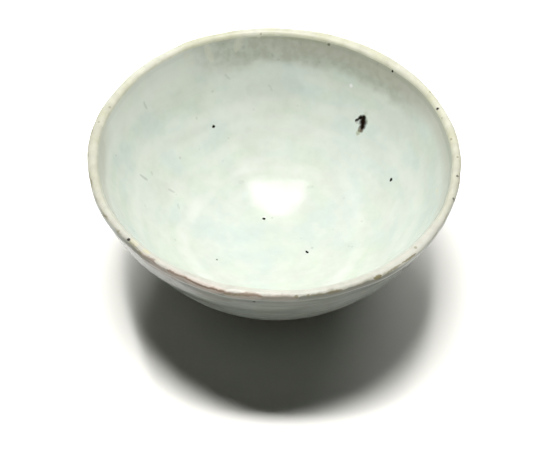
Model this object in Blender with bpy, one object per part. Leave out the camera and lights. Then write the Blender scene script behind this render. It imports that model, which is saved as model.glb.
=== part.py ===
"""A hand-thrown pottery bowl under a pale celadon glaze, standing on its foot ring.

Run it in Blender 4.5, with blender --background --python part.py or from the text editor.
Units are metres and +Z is up. The origin is the centre of the ring on which the bowl stands.

Every sub-part is one closed solid, turned about the Z axis as on the wheel:
  clay_body    the thrown wall, its bare rounded lip and its floor
  foot_ring    the ring luted under the floor, which carries the bowl
  inner_glaze  the coat poured inside, from the lip to the middle of the floor
  outer_glaze  the coat outside, from the lip to its thick wavy hem above the foot
  base_glaze   the coat inside the foot ring

The bowl's two visible faces are curves. Clay and glaze are both measured inwards from them,
so the coats always lie on the clay, and the lip stays flush with the coats on either side.
"""

import math

import bmesh
import bpy
from mathutils import Vector

# Overall size
RIM_RADIUS = 0.075
BOWL_HEIGHT = 0.066

# The wall: its thickness over clay and glaze, and how far it leans from upright
LIP_THICKNESS = 0.0038
BELLY_THICKNESS = 0.0049
FLOOR_THICKNESS = 0.0044
RIM_LEAN = math.radians(20)
FOOT_LEAN = math.radians(63)

# How full the curves are: the reach of each end's handle, as a share of the curve's chord
OUTSIDE_RIM_FULLNESS = 0.25
OUTSIDE_FOOT_FULLNESS = 0.44
FLOOR_EDGE_FULLNESS = 0.36
FLOOR_MIDDLE_FULLNESS = 0.38

# Share of the outside curve, from the lip, that the inside follows before it turns to the floor
BELLY_SHARE = 0.55

# The foot ring
FOOT_HEIGHT = 0.0070
FOOT_RADIUS = 0.0290
FOOT_WIDTH = 0.0054
FOOT_DRAFT = math.radians(5)
FOOT_EDGE = 0.0008
BELLY_OVERHANG = 0.0015

# The glaze
GLAZE_THICKNESS = 0.0005
COAT_GAP = 0.0003
BARE_LIP = 0.0010
HEM_ABOVE_FOOT = 0.0045
HEM_LENGTH = 0.0024
HEM_SWELL = 0.0005
HEM_ROUND = (0.55, 1.0, 0.8, 0.0)
BASE_SKIRT = 0.0028

# The hem's waves: how many go round the bowl, where they start, and how far they reach
HEM_WAVES = ((2, 0.5, 0.0007), (5, 1.9, 0.0004))

# What the hand leaves: the rim is drawn slightly oval, and its edge rises and dips
OVAL = 0.00065
OVAL_HEADING = math.radians(-45)
RIM_DIP = 0.0003
RIM_DIPS = 3

# Facets, and how finely the curves are followed to measure along them
SEGMENTS = 64
OUTER_WALL_STATIONS = 11
INNER_WALL_STATIONS = 8
FLOOR_STATIONS = 6
LIP_STATIONS = 8
EDGE_STATIONS = 3
SMALL_STEP = 0.002

# Colours, linear
IVORY_CLAY = (0.80, 0.76, 0.60)
BUFF_CLAY = (0.62, 0.52, 0.38)
CELADON = (0.60, 0.67, 0.57)

# Worked out from the sizes above. Radius is x and height is y in every profile.
GLAZE_SEAT = GLAZE_THICKNESS + COAT_GAP
BASE_CEILING = FOOT_HEIGHT - GLAZE_SEAT
FLOOR_TOP = BASE_CEILING + FLOOR_THICKNESS
BELLY_RADIUS = FOOT_RADIUS + BELLY_OVERHANG
LIP_CENTRE = Vector((RIM_RADIUS - LIP_THICKNESS / 2, BOWL_HEIGHT - LIP_THICKNESS / 2))


def down_wall(lean):
    """The way down a wall that leans inwards by an angle from upright."""
    return Vector((-math.sin(lean), -math.cos(lean)))


def curve(start, start_way, end, end_way, start_fullness, end_fullness, t):
    """A point on a cubic curve between two ends, and the way the curve runs there."""
    chord = (end - start).length
    second = start + start_way * (chord * start_fullness)
    third = end - end_way * (chord * end_fullness)
    s = 1 - t
    point = start * s**3 + second * (3 * s * s * t) + third * (3 * s * t * t) + end * t**3
    way = (second - start) * s * s + (third - second) * (2 * s * t) + (end - third) * t * t
    return point, way.normalized()


def outer_face(t):
    """Outside of the bowl: a point and its outward way, from the lip at 0 to the foot at 1."""
    way = down_wall(RIM_LEAN)
    start = LIP_CENTRE + Vector((-way.y, way.x)) * (LIP_THICKNESS / 2)
    end = Vector((BELLY_RADIUS, FOOT_HEIGHT))
    point, way = curve(
        start, way, end, down_wall(FOOT_LEAN), OUTSIDE_RIM_FULLNESS, OUTSIDE_FOOT_FULLNESS, t
    )
    return point, Vector((-way.y, way.x))


def across_wall(t):
    """The point of the inner face that lies across the wall from the outer face at t."""
    point, outward = outer_face(t)
    share = t / BELLY_SHARE
    thickness = LIP_THICKNESS + (BELLY_THICKNESS - LIP_THICKNESS) * share * share
    return point - outward * thickness


def wall_inside(t):
    """The inner face beside the wall: a point and its way out of the wall."""
    way = (across_wall(t + SMALL_STEP) - across_wall(t - SMALL_STEP)).normalized()
    return across_wall(t), Vector((way.y, -way.x))


def floor_face(t):
    """The inner face from the foot of the wall at 0 to the middle of the floor at 1."""
    start, outward = wall_inside(BELLY_SHARE)
    way = Vector((-outward.y, outward.x))
    end = Vector((0, FLOOR_TOP))
    inwards = Vector((-1, 0))
    point, way = curve(
        start, way, end, inwards, FLOOR_EDGE_FULLNESS, FLOOR_MIDDLE_FULLNESS, t
    )
    return point, Vector((way.y, -way.x))


def evenly(start, end, count):
    """Count + 1 values from start to end."""
    return [start + (end - start) * k / count for k in range(count + 1)]


def outer_length(t):
    """How far the outer face has run from the lip at t."""
    points = [outer_face(k)[0] for k in evenly(0, t, round(1 / SMALL_STEP))]
    return sum((b - a).length for a, b in zip(points, points[1:]))


def outer_t(distance):
    """The t at which the outer face has run a distance from the lip."""
    low, high = 0, 1
    while high - low > SMALL_STEP * SMALL_STEP:
        middle = (low + high) / 2
        if outer_length(middle) < distance:
            low = middle
        else:
            high = middle
    return low


def behind(stations, depth):
    """The points that lie a depth behind the stations of a face."""
    return [point - outward * depth for point, outward in stations]


def lip_arc():
    """The round of the lip, from the outer face over the top to the inner face."""
    outward = outer_face(0)[1]
    first = math.atan2(outward.y, outward.x)
    angles = evenly(first, first + math.pi, LIP_STATIONS)[1:-1]
    reach = LIP_THICKNESS / 2
    return [LIP_CENTRE + Vector((math.cos(a), math.sin(a))) * reach for a in angles]


# Where the coats begin under the lip, and where the outer one gathers and ends
SHOULDER_T = outer_t(BARE_LIP)
SEAT_T = outer_t(BARE_LIP + COAT_GAP)
COAT_TOP_T = outer_t(BARE_LIP + 2 * COAT_GAP)
HEM_RUN = outer_length(1) - HEM_ABOVE_FOOT
HEM_TOP_T = outer_t(HEM_RUN - HEM_LENGTH)
HEM_T = outer_t(HEM_RUN)


def turned(profile, closed):
    """A bmesh solid turned from a profile: a closed loop, or a line from axis to axis."""
    bm = bmesh.new()
    verts = [bm.verts.new((point.x, 0, point.y)) for point in profile]
    edges = [bm.edges.new(pair) for pair in zip(verts, verts[1:])]
    if closed:
        edges.append(bm.edges.new((verts[-1], verts[0])))
    bmesh.ops.spin(
        bm,
        geom=verts + edges,
        cent=(0, 0, 0),
        axis=(0, 0, 1),
        angle=math.tau,
        steps=SEGMENTS,
        use_merge=True,
    )
    bmesh.ops.remove_doubles(bm, verts=bm.verts, dist=1e-6)
    bmesh.ops.recalc_face_normals(bm, faces=bm.faces)
    return bm


def shaped_by_hand(bm):
    """Draws the turned shape slightly oval towards the rim, and lets the rim's edge dip."""
    for vert in bm.verts:
        heading = math.atan2(vert.co.y, vert.co.x)
        rise = vert.co.z / BOWL_HEIGHT
        stretch = 1 + OVAL / RIM_RADIUS * rise**2 * math.cos(2 * (heading - OVAL_HEADING))
        vert.co.x *= stretch
        vert.co.y *= stretch
        vert.co.z += RIM_DIP * rise**4 * math.cos(RIM_DIPS * heading)


def wavy_hem(bm):
    """Slides the hem of the outer coat up and down the wall, fading out above it."""
    hem, outward = outer_face(HEM_T)
    up_wall = Vector((-outward.y, outward.x))
    fade = 3 * HEM_LENGTH * up_wall.y
    for vert in bm.verts:
        share = min(max(1 - (vert.co.z - hem.y) / fade, 0), 1)
        heading = math.atan2(vert.co.y, vert.co.x)
        wave = sum(reach * math.sin(n * heading + start) for n, start, reach in HEM_WAVES)
        slide = up_wall * (wave * share)
        vert.co.x += slide.x * math.cos(heading)
        vert.co.y += slide.x * math.sin(heading)
        vert.co.z += slide.y


def clay(name, colour, roughness):
    """A fired, unglazed clay."""
    material = bpy.data.materials.new(name)
    material.use_nodes = True
    shader = material.node_tree.nodes["Principled BSDF"]
    shader.inputs["Base Color"].default_value = (*colour, 1)
    shader.inputs["Roughness"].default_value = roughness
    shader.inputs["Metallic"].default_value = 0
    return material


def glaze(name):
    """A glossy celadon glaze."""
    material = clay(name, CELADON, 0.12)
    shader = material.node_tree.nodes["Principled BSDF"]
    shader.inputs["Coat Weight"].default_value = 0.6
    return material


def add_piece(name, bm, material, bowl):
    """Makes a named object of a bmesh, smooth but for its real edges, under the bowl."""
    mesh = bpy.data.meshes.new(name)
    bm.to_mesh(mesh)
    bm.free()
    mesh.materials.append(material)
    mesh.shade_smooth()
    mesh.set_sharp_from_angle(angle=math.radians(40))
    piece = bpy.data.objects.new(name, mesh)
    bpy.context.scene.collection.objects.link(piece)
    piece.parent = bowl


def make_clay_body(bowl):
    """The wall, lip and floor. It steps back under each coat by the glaze's seat."""
    outside = [outer_face(t) for t in evenly(1, SEAT_T, OUTER_WALL_STATIONS)]
    inside = [wall_inside(t) for t in evenly(SEAT_T, BELLY_SHARE, INNER_WALL_STATIONS)]
    floor = [floor_face(t) for t in evenly(0, 1, FLOOR_STATIONS)][1:]
    outer_lip = [outer_face(t)[0] for t in (SHOULDER_T, 0)]
    inner_lip = [across_wall(t) for t in (0, SHOULDER_T)]
    underside = [Vector((0, FOOT_HEIGHT)), Vector((FOOT_RADIUS, FOOT_HEIGHT))]
    profile = (
        underside
        + behind(outside, GLAZE_SEAT)
        + outer_lip
        + lip_arc()
        + inner_lip
        + behind(inside + floor, GLAZE_SEAT)
    )
    bm = turned(profile, closed=False)
    shaped_by_hand(bm)
    add_piece("clay_body", bm, clay("ivory_clay", IVORY_CLAY, 0.45), bowl)


def foot_wall(height):
    """The foot ring's outer and inner radius at a height. It narrows downwards by its draft."""
    draft = (FOOT_HEIGHT - height) * math.tan(FOOT_DRAFT)
    return FOOT_RADIUS - draft, FOOT_RADIUS - FOOT_WIDTH + draft


def rounded_edge(corner, out_x):
    """The quarter round at a bottom corner of the foot ring, from its side to its underside."""
    centre = corner + Vector((-out_x * FOOT_EDGE, FOOT_EDGE))
    angles = evenly(0, math.pi / 2, EDGE_STATIONS)
    return [
        centre + Vector((out_x * math.cos(a), -math.sin(a))) * FOOT_EDGE for a in angles
    ]


def make_foot_ring(bowl):
    """The ring that the bowl stands on, flat beneath and eased at both bottom edges."""
    top = FOOT_HEIGHT - COAT_GAP
    outer_top, inner_top = foot_wall(top)
    outer_low, inner_low = foot_wall(FOOT_EDGE)
    profile = [Vector((inner_top, top)), Vector((outer_top, top))]
    profile += rounded_edge(Vector((outer_low, 0)), 1)
    profile += reversed(rounded_edge(Vector((inner_low, 0)), -1))
    bm = turned(profile, closed=True)
    shaped_by_hand(bm)
    add_piece("foot_ring", bm, clay("buff_clay", BUFF_CLAY, 0.85), bowl)


def make_inner_glaze(bowl):
    """The coat inside the bowl."""
    wall = [wall_inside(t) for t in evenly(COAT_TOP_T, BELLY_SHARE, INNER_WALL_STATIONS)]
    floor = [floor_face(t) for t in evenly(0, 1, FLOOR_STATIONS)][1:]
    face = behind(wall + floor, 0)
    back = behind(wall + floor, GLAZE_THICKNESS)
    bm = turned(list(reversed(face)) + back, closed=False)
    shaped_by_hand(bm)
    add_piece("inner_glaze", bm, glaze("celadon_inside"), bowl)


def make_outer_glaze(bowl):
    """The coat outside the bowl, which gathers in a thick hem above the foot."""
    wall = [outer_face(t) for t in evenly(COAT_TOP_T, HEM_TOP_T, OUTER_WALL_STATIONS - 1)]
    hem = [outer_face(t) for t in evenly(HEM_TOP_T, HEM_T, len(HEM_ROUND))][1:]
    roll = [
        point + outward * (HEM_SWELL * share)
        for (point, outward), share in zip(hem, HEM_ROUND)
    ]
    back = behind(wall + hem[1::2], GLAZE_THICKNESS)
    bm = turned(behind(wall, 0) + roll + list(reversed(back)), closed=True)
    wavy_hem(bm)
    shaped_by_hand(bm)
    add_piece("outer_glaze", bm, glaze("celadon_outside"), bowl)


def make_base_glaze(bowl):
    """The coat under the floor, which runs a little way down the inside of the ring."""
    top = FOOT_HEIGHT - COAT_GAP
    skirt = BASE_CEILING - BASE_SKIRT
    at_top = foot_wall(top)[1] - COAT_GAP
    at_ceiling = foot_wall(BASE_CEILING)[1] - COAT_GAP - GLAZE_THICKNESS
    at_skirt = foot_wall(skirt)[1] - COAT_GAP
    profile = [
        Vector((0, top)),
        Vector((at_top, top)),
        Vector((at_skirt, skirt)),
        Vector((at_skirt - GLAZE_THICKNESS, skirt)),
        Vector((at_ceiling, BASE_CEILING)),
        Vector((0, BASE_CEILING)),
    ]
    bm = turned(profile, closed=False)
    shaped_by_hand(bm)
    add_piece("base_glaze", bm, glaze("celadon_base"), bowl)


def main():
    for old in list(bpy.data.objects):
        bpy.data.objects.remove(old, do_unlink=True)
    bowl = bpy.data.objects.new("bowl", None)
    bpy.context.scene.collection.objects.link(bowl)
    make_clay_body(bowl)
    make_foot_ring(bowl)
    make_inner_glaze(bowl)
    make_outer_glaze(bowl)
    make_base_glaze(bowl)


main()
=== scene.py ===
"""The looks of a hand-thrown pottery bowl under a pale celadon glaze.

Units are metres, +Z is up, and the bowl stands on its foot ring at the origin. The camera
looks along +Y, down into the bowl. Each piece is turned as a fine mesh on the same curves as
the solid that it stands for, and gets its own procedural finish:
  thrown_wall        the clay wall, its bare rounded lip and its floor
  turned_foot        the ring that the bowl stands on
  inner_glaze_coat   the celadon coat poured inside
  outer_glaze_coat   the celadon coat outside, with its thick wavy hem
  base_glaze_coat    the coat inside the foot ring
"""

import math

import bmesh
import bpy
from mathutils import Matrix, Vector, noise


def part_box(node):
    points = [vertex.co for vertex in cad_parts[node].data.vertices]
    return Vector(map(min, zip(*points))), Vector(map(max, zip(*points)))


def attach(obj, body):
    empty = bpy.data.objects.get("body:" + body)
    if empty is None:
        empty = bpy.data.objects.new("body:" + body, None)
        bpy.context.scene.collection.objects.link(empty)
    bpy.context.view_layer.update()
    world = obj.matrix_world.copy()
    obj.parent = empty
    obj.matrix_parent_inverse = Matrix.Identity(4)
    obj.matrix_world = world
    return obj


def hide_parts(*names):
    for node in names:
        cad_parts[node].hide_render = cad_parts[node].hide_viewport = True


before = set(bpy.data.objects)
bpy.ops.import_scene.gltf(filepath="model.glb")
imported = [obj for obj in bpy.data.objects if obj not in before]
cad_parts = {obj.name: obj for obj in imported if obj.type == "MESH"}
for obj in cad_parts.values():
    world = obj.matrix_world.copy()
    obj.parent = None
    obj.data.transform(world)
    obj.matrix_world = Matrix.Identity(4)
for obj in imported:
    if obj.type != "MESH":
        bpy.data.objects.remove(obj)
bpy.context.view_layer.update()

# What the hand leaves, as in the solids
OVAL = 0.00065
OVAL_HEADING = math.radians(-45)
RIM_DIP = 0.0003
RIM_DIPS = 3

# Where the lip was drawn out wider: heading and spread in degrees, and how far out
LIP_PULLS = (
    (61, 20, 0.0015),
    (150, 45, 0.0008),
    (-104, 14, 0.0011),
    (-52, 18, 0.0013),
    (90, 16, 0.0005),
    (-80, 12, 0.0004),
)

# Rolls and a hollow that the throwing left outside, in the same terms, with height and width
WALL_ROLLS = (
    (-115, 31, 0.0534, 0.0056, 0.0009),
    (-143, 26, 0.0562, 0.0056, 0.0003),
    (-118, 45, 0.0370, 0.0110, -0.0009),
)

# The finer unevenness of the rim: how long its bumps are and how far they reach
RIM_BUMPS = ((0.0075, 0.00022), (0.0240, 0.00035))

# How the lip grows thicker and thinner: how long the swells are, and by what share
LIP_SWELL_SIZE = 0.016
LIP_SWELL = 0.16

# Layers of the noise, so that bumps outwards, bumps upwards and swells don't go together
RISE_LAYER = 7.1
SWELL_LAYER = 2.3

# How far below the lip the rim's unevenness fades out, in thicknesses of the lip
UNEVEN_DEPTH = 3.5

# The bowl's size, read from the solids, whose coats lie a little off the clay
COAT_GAP = 0.0003
RIM_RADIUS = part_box("clay_body")[1].x
BOWL_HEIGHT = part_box("clay_body")[1].z - RIM_DIP
FOOT_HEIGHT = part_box("foot_ring")[1].z + COAT_GAP
FOOT_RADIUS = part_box("foot_ring")[1].x

# The wall: its thickness over clay and glaze, and how far it leans from upright
LIP_THICKNESS = 0.0038
BELLY_THICKNESS = 0.0049
FLOOR_THICKNESS = 0.0044
RIM_LEAN = math.radians(20)
FOOT_LEAN = math.radians(63)
OUTSIDE_RIM_FULLNESS = 0.25
OUTSIDE_FOOT_FULLNESS = 0.44
FLOOR_EDGE_FULLNESS = 0.36
FLOOR_MIDDLE_FULLNESS = 0.38
BELLY_SHARE = 0.55

# The foot ring
FOOT_WIDTH = 0.0054
FOOT_DRAFT = math.radians(5)
FOOT_EDGE = 0.0008
BELLY_OVERHANG = 0.0015

# The glaze: its body, and the bead at its upper edge
GLAZE_THICKNESS = 0.0005
BARE_LIP = 0.0002
EDGE_SINK = 0.00005
EDGE_BEAD = 0.00003
EDGE_RUN = 0.0007
SEAT_RUN = 0.0020
BASE_SKIRT = 0.0028

# The hem above the foot: the share of it where its nose starts, its waves round the bowl, each
# with a count, a start and a reach, and how far up they fade out
HEM_ABOVE_FOOT = 0.0045
HEM_LENGTH = 0.0024
HEM_SWELL = 0.0005
HEM_NOSE = 0.45
HEM_WAVES = ((2, 0.5, 0.0007), (5, 1.9, 0.0004))
HEM_FADE = 3 * HEM_LENGTH

# The marks of throwing and turning
RING_PITCH = 0.0078
RING_REACH = 0.000008
LUMP_SIZE = 0.030
LUMP_REACH = 0.00008

# How finely each piece is turned
SEGMENTS = 256
FACE_STATIONS = 110
BACK_STATIONS = 36
LIP_STATIONS = 20
EDGE_STATIONS = 6
WELD_DISTANCE = 1e-6
SHARP_EDGE = math.radians(50)

# How finely a curve is measured, and how even the spacing is where it is closer at the start
FINE_STATIONS = 8 * FACE_STATIONS
SMALL_STEP = 0.002
EVEN_SHARE = 0.35

# The picture, and the camera that took it
PICTURE_WIDTH = 550
PICTURE_HEIGHT = 450
SENSOR = 0.036
LENS = 0.1219
VIEW_DISTANCE = 0.750
VIEW_ELEVATION = math.radians(45.77)
AIM = Vector((0.00014, 0, BOWL_HEIGHT - 0.0437))

# What follows from these
GLAZE_SEAT = GLAZE_THICKNESS + COAT_GAP
BASE_CEILING = FOOT_HEIGHT - GLAZE_SEAT
FLOOR_TOP = BASE_CEILING + FLOOR_THICKNESS
BELLY_RADIUS = FOOT_RADIUS + BELLY_OVERHANG
LIP_CENTRE = Vector((RIM_RADIUS - LIP_THICKNESS / 2, BOWL_HEIGHT - LIP_THICKNESS / 2))


# The bowl's curves, with radius as x and height as y


def down_wall(lean):
    """The way down a wall that leans inwards by an angle from upright."""
    return Vector((-math.sin(lean), -math.cos(lean)))


def curve(start, start_way, end, end_way, start_fullness, end_fullness, t):
    """A point on a cubic curve between two ends, and the way the curve runs there."""
    chord = (end - start).length
    second = start + start_way * (chord * start_fullness)
    third = end - end_way * (chord * end_fullness)
    s = 1 - t
    point = start * s**3 + second * (3 * s * s * t) + third * (3 * s * t * t) + end * t**3
    way = (second - start) * s * s + (third - second) * (2 * s * t) + (end - third) * t * t
    return point, way.normalized()


def outer_face(t):
    """Outside of the bowl: a point and its outward way, from the lip at 0 to the foot at 1."""
    way = down_wall(RIM_LEAN)
    start = LIP_CENTRE + Vector((-way.y, way.x)) * (LIP_THICKNESS / 2)
    end = Vector((BELLY_RADIUS, FOOT_HEIGHT))
    point, way = curve(
        start, way, end, down_wall(FOOT_LEAN), OUTSIDE_RIM_FULLNESS, OUTSIDE_FOOT_FULLNESS, t
    )
    return point, Vector((-way.y, way.x))


def across_wall(t):
    """The point of the inner face that lies across the wall from the outer face at t."""
    point, outward = outer_face(t)
    share = t / BELLY_SHARE
    thickness = LIP_THICKNESS + (BELLY_THICKNESS - LIP_THICKNESS) * share * share
    return point - outward * thickness


def wall_inside(t):
    """The inner face beside the wall: a point and its way out of the wall."""
    way = (across_wall(t + SMALL_STEP) - across_wall(t - SMALL_STEP)).normalized()
    return across_wall(t), Vector((way.y, -way.x))


def floor_face(t):
    """The inner face from the foot of the wall at 0 to the middle of the floor at 1."""
    start, outward = wall_inside(BELLY_SHARE)
    way = Vector((-outward.y, outward.x))
    end = Vector((0, FLOOR_TOP))
    inwards = Vector((-1, 0))
    point, way = curve(
        start, way, end, inwards, FLOOR_EDGE_FULLNESS, FLOOR_MIDDLE_FULLNESS, t
    )
    return point, Vector((way.y, -way.x))


def evenly(start, end, count):
    """Count + 1 values from start to end."""
    return [start + (end - start) * k / count for k in range(count + 1)]


def with_runs(face):
    """Adds to each station of a face how far the face has run from its first one."""
    runs = [0]
    for (before, _), (after, _) in zip(face, face[1:]):
        runs.append(runs[-1] + (after - before).length)
    return [(point, outward, run) for (point, outward), run in zip(face, runs)]


def outer_stations():
    """The outside of the bowl from the lip to the foot, as points, outward ways and runs."""
    return with_runs([outer_face(t) for t in evenly(0, 1, FINE_STATIONS)])


def inner_stations():
    """The inside of the bowl from the lip to the middle of the floor."""
    wall = [wall_inside(t) for t in evenly(0, BELLY_SHARE, FINE_STATIONS // 2)]
    floor = [floor_face(t) for t in evenly(0, 1, FINE_STATIONS // 2)]
    return with_runs(wall + floor[1:])


def station_at(stations, run):
    """The station that lies nearest to a run."""
    return min(stations, key=lambda station: abs(station[2] - run))


def offset_line(stations, runs, lift):
    """The line that stands off a face by lift(run), outwards, at each of the runs."""
    line = []
    for run in runs:
        point, outward, _ = station_at(stations, run)
        line.append(point + outward * lift(run))
    return line


def smooth_step(low, high, value):
    """0 below low, 1 above high, and a smooth rise between."""
    share = min(max((value - low) / (high - low), 0), 1)
    return share * share * (3 - 2 * share)


def clay_lift(run):
    """Where the clay lies against the bowl's face: flush at the lip, behind the coat below."""
    return -GLAZE_THICKNESS * smooth_step(BARE_LIP, BARE_LIP + SEAT_RUN, run)


def coat_lift(run):
    """Where a coat's face lies: sunk at its edge, then a fine bead, then flush."""
    share = (run - BARE_LIP) / EDGE_RUN
    return EDGE_BEAD * share * math.exp(1 - share) - EDGE_SINK * max(0, 1 - share)


def coat_back_lift(run):
    """Where a coat's back lies: a little inside the clay, and with the face at the edge."""
    return clay_lift(run) - EDGE_SINK


def lip_arc():
    """The round of the lip, from the outer face over the top to the inner face."""
    outward = outer_face(0)[1]
    first = math.atan2(outward.y, outward.x)
    angles = evenly(first, first + math.pi, LIP_STATIONS)[1:-1]
    reach = LIP_THICKNESS / 2
    return [LIP_CENTRE + Vector((math.cos(a), math.sin(a))) * reach for a in angles]


def closer_at_start(start, end, count):
    """Count + 1 values from start to end that lie closer together near the start."""
    shares = [EVEN_SHARE * k + (1 - EVEN_SHARE) * k * k for k in evenly(0, 1, count)]
    return [start + (end - start) * share for share in shares]


# Turning a profile into a piece


def turned(profile, closed):
    """A bmesh solid turned from a profile: a closed loop, or a line from axis to axis."""
    bm = bmesh.new()
    verts = [bm.verts.new((point.x, 0, point.y)) for point in profile]
    edges = [bm.edges.new(pair) for pair in zip(verts, verts[1:])]
    if closed:
        edges.append(bm.edges.new((verts[-1], verts[0])))
    bmesh.ops.spin(
        bm,
        geom=verts + edges,
        cent=(0, 0, 0),
        axis=(0, 0, 1),
        angle=math.tau,
        steps=SEGMENTS,
        use_merge=True,
    )
    bmesh.ops.remove_doubles(bm, verts=bm.verts, dist=WELD_DISTANCE)
    bmesh.ops.recalc_face_normals(bm, faces=bm.faces)
    return bm


def around(bm):
    """Each vertex of a shape, with its heading and radius from the wheel's axis."""
    for vert in bm.verts:
        yield vert, math.atan2(vert.co.y, vert.co.x), math.hypot(vert.co.x, vert.co.y)


def shaped_by_hand(bm):
    """Draws the turned shape slightly oval towards the rim, and lets the rim's edge dip."""
    for vert, heading, _ in around(bm):
        rise = vert.co.z / BOWL_HEIGHT
        stretch = 1 + OVAL / RIM_RADIUS * rise**2 * math.cos(2 * (heading - OVAL_HEADING))
        vert.co.x *= stretch
        vert.co.y *= stretch
        vert.co.z += RIM_DIP * rise**4 * math.cos(RIM_DIPS * heading)


def around_rim(heading, size, layer):
    """Smooth noise round the rim, whose bumps are about a size long. Each layer differs."""
    reach = RIM_RADIUS / size
    return noise.noise(Vector((math.cos(heading) * reach, math.sin(heading) * reach, layer)))


def fades_round(heading, middle, spread):
    """1 at a heading in degrees, and less and less away from it."""
    away = (math.degrees(heading) - middle + 180) % 360 - 180
    return math.exp(-((away / spread) ** 2))


def lip_pull(heading):
    """How far the lip's outer side was drawn out at a heading."""
    return sum(
        reach * fades_round(heading, middle, spread) for middle, spread, reach in LIP_PULLS
    )


def uneven_rim(bm):
    """Lets the lip grow thicker and thinner, and the rim wander in and out and up and down."""
    uneven_from = LIP_CENTRE.y - UNEVEN_DEPTH * LIP_THICKNESS
    for vert, heading, radius in around(bm):
        near = smooth_step(uneven_from, LIP_CENTRE.y, vert.co.z)
        if near == 0:
            continue
        swell = LIP_SWELL * around_rim(heading, LIP_SWELL_SIZE, SWELL_LAYER)
        out = (radius - LIP_CENTRE.x) * swell
        up = max(vert.co.z - LIP_CENTRE.y, 0) * swell
        from_inside = (radius - LIP_CENTRE.x) / LIP_THICKNESS + 0.5
        out += lip_pull(heading) * smooth_step(0, 1, from_inside)
        for layer, (size, reach) in enumerate(RIM_BUMPS):
            out += reach * around_rim(heading, size, layer)
            up += reach * around_rim(heading, size, layer + RISE_LAYER)
        vert.co += Vector((math.cos(heading) * out, math.sin(heading) * out, up)) * near


def marked_by_fingers(bm):
    """Leaves the spiral of the thrower's fingers and the soft lumps of the hand."""
    for vert, heading, radius in around(bm):
        below_lip = BOWL_HEIGHT - LIP_THICKNESS - vert.co.z
        calm = smooth_step(0, 2 * RING_PITCH, radius) * smooth_step(0, RING_PITCH, below_lip)
        ring = math.sin(math.tau * (radius + vert.co.z) / RING_PITCH + heading)
        lump = noise.noise(vert.co / LUMP_SIZE)
        push = (RING_REACH * ring + LUMP_REACH * lump) * calm
        vert.co += Vector((-math.cos(heading), -math.sin(heading), 1)) * push


def rolled_outside(bm, both_sides):
    """Leaves the rolls and the hollow on the wall's outer side, or on all of a thin coat."""
    bm.normal_update()
    for vert, heading, _ in around(bm):
        outwards = Vector((math.cos(heading), math.sin(heading), 0))
        if not both_sides and vert.normal.dot(outwards) <= 0:
            continue
        for middle, spread, height, width, reach in WALL_ROLLS:
            share = math.exp(-(((vert.co.z - height) / width) ** 2))
            vert.co += outwards * (reach * share * fades_round(heading, middle, spread))


def wavy_hem(bm):
    """Slides the hem of the outer coat up and down the wall, fading out above it."""
    stations = outer_stations()
    hem, outward, _ = station_at(stations, stations[-1][2] - HEM_ABOVE_FOOT)
    up_wall = Vector((-outward.y, outward.x))
    fade = HEM_FADE * up_wall.y
    for vert, heading, _ in around(bm):
        share = min(max(1 - (vert.co.z - hem.y) / fade, 0), 1)
        wave = sum(reach * math.sin(n * heading + start) for n, start, reach in HEM_WAVES)
        slide = up_wall * (wave * share)
        vert.co.x += slide.x * math.cos(heading)
        vert.co.y += slide.x * math.sin(heading)
        vert.co.z += slide.y


def put(name, data):
    """A new object in the scene."""
    thing = bpy.data.objects.new(name, data)
    bpy.context.scene.collection.objects.link(thing)
    return thing


def add_piece(name, bm, slot, *nodes):
    """Makes a piece of a bmesh, in place of the solids that it stands for."""
    mesh = bpy.data.meshes.new(name)
    bm.to_mesh(mesh)
    bm.free()
    mesh.shade_smooth()
    mesh.set_sharp_from_angle(angle=SHARP_EDGE)
    piece = put(name, mesh)
    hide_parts(*nodes)
    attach(piece, "root")
    return piece


# The pieces


def make_thrown_wall():
    """The wall, its bare lip and its floor, just behind the coats."""
    outside = outer_stations()
    inside = inner_stations()
    outer_runs = closer_at_start(0, outside[-1][2], FACE_STATIONS // 2)
    inner_runs = closer_at_start(0, inside[-1][2], FACE_STATIONS // 2)
    underside = [Vector((0, FOOT_HEIGHT)), Vector((FOOT_RADIUS, FOOT_HEIGHT))]
    profile = (
        underside
        + list(reversed(offset_line(outside, outer_runs, clay_lift)))
        + lip_arc()
        + offset_line(inside, inner_runs, clay_lift)
    )
    bm = turned(profile, closed=False)
    rolled_outside(bm, both_sides=False)
    marked_by_fingers(bm)
    uneven_rim(bm)
    shaped_by_hand(bm)
    return add_piece("thrown_wall", bm, "ivory_clay", "clay_body")


def make_inner_coat():
    """The coat inside, from its fine edge under the lip to the middle of the floor."""
    inside = inner_stations()
    face_runs = closer_at_start(BARE_LIP, inside[-1][2], FACE_STATIONS)
    back_runs = closer_at_start(BARE_LIP, inside[-1][2], BACK_STATIONS)[1:]
    face = offset_line(inside, face_runs, coat_lift)
    back = offset_line(inside, back_runs, coat_back_lift)
    bm = turned(list(reversed(face)) + back, closed=False)
    marked_by_fingers(bm)
    uneven_rim(bm)
    shaped_by_hand(bm)
    return add_piece("inner_glaze_coat", bm, "celadon_inside", "inner_glaze")


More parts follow.
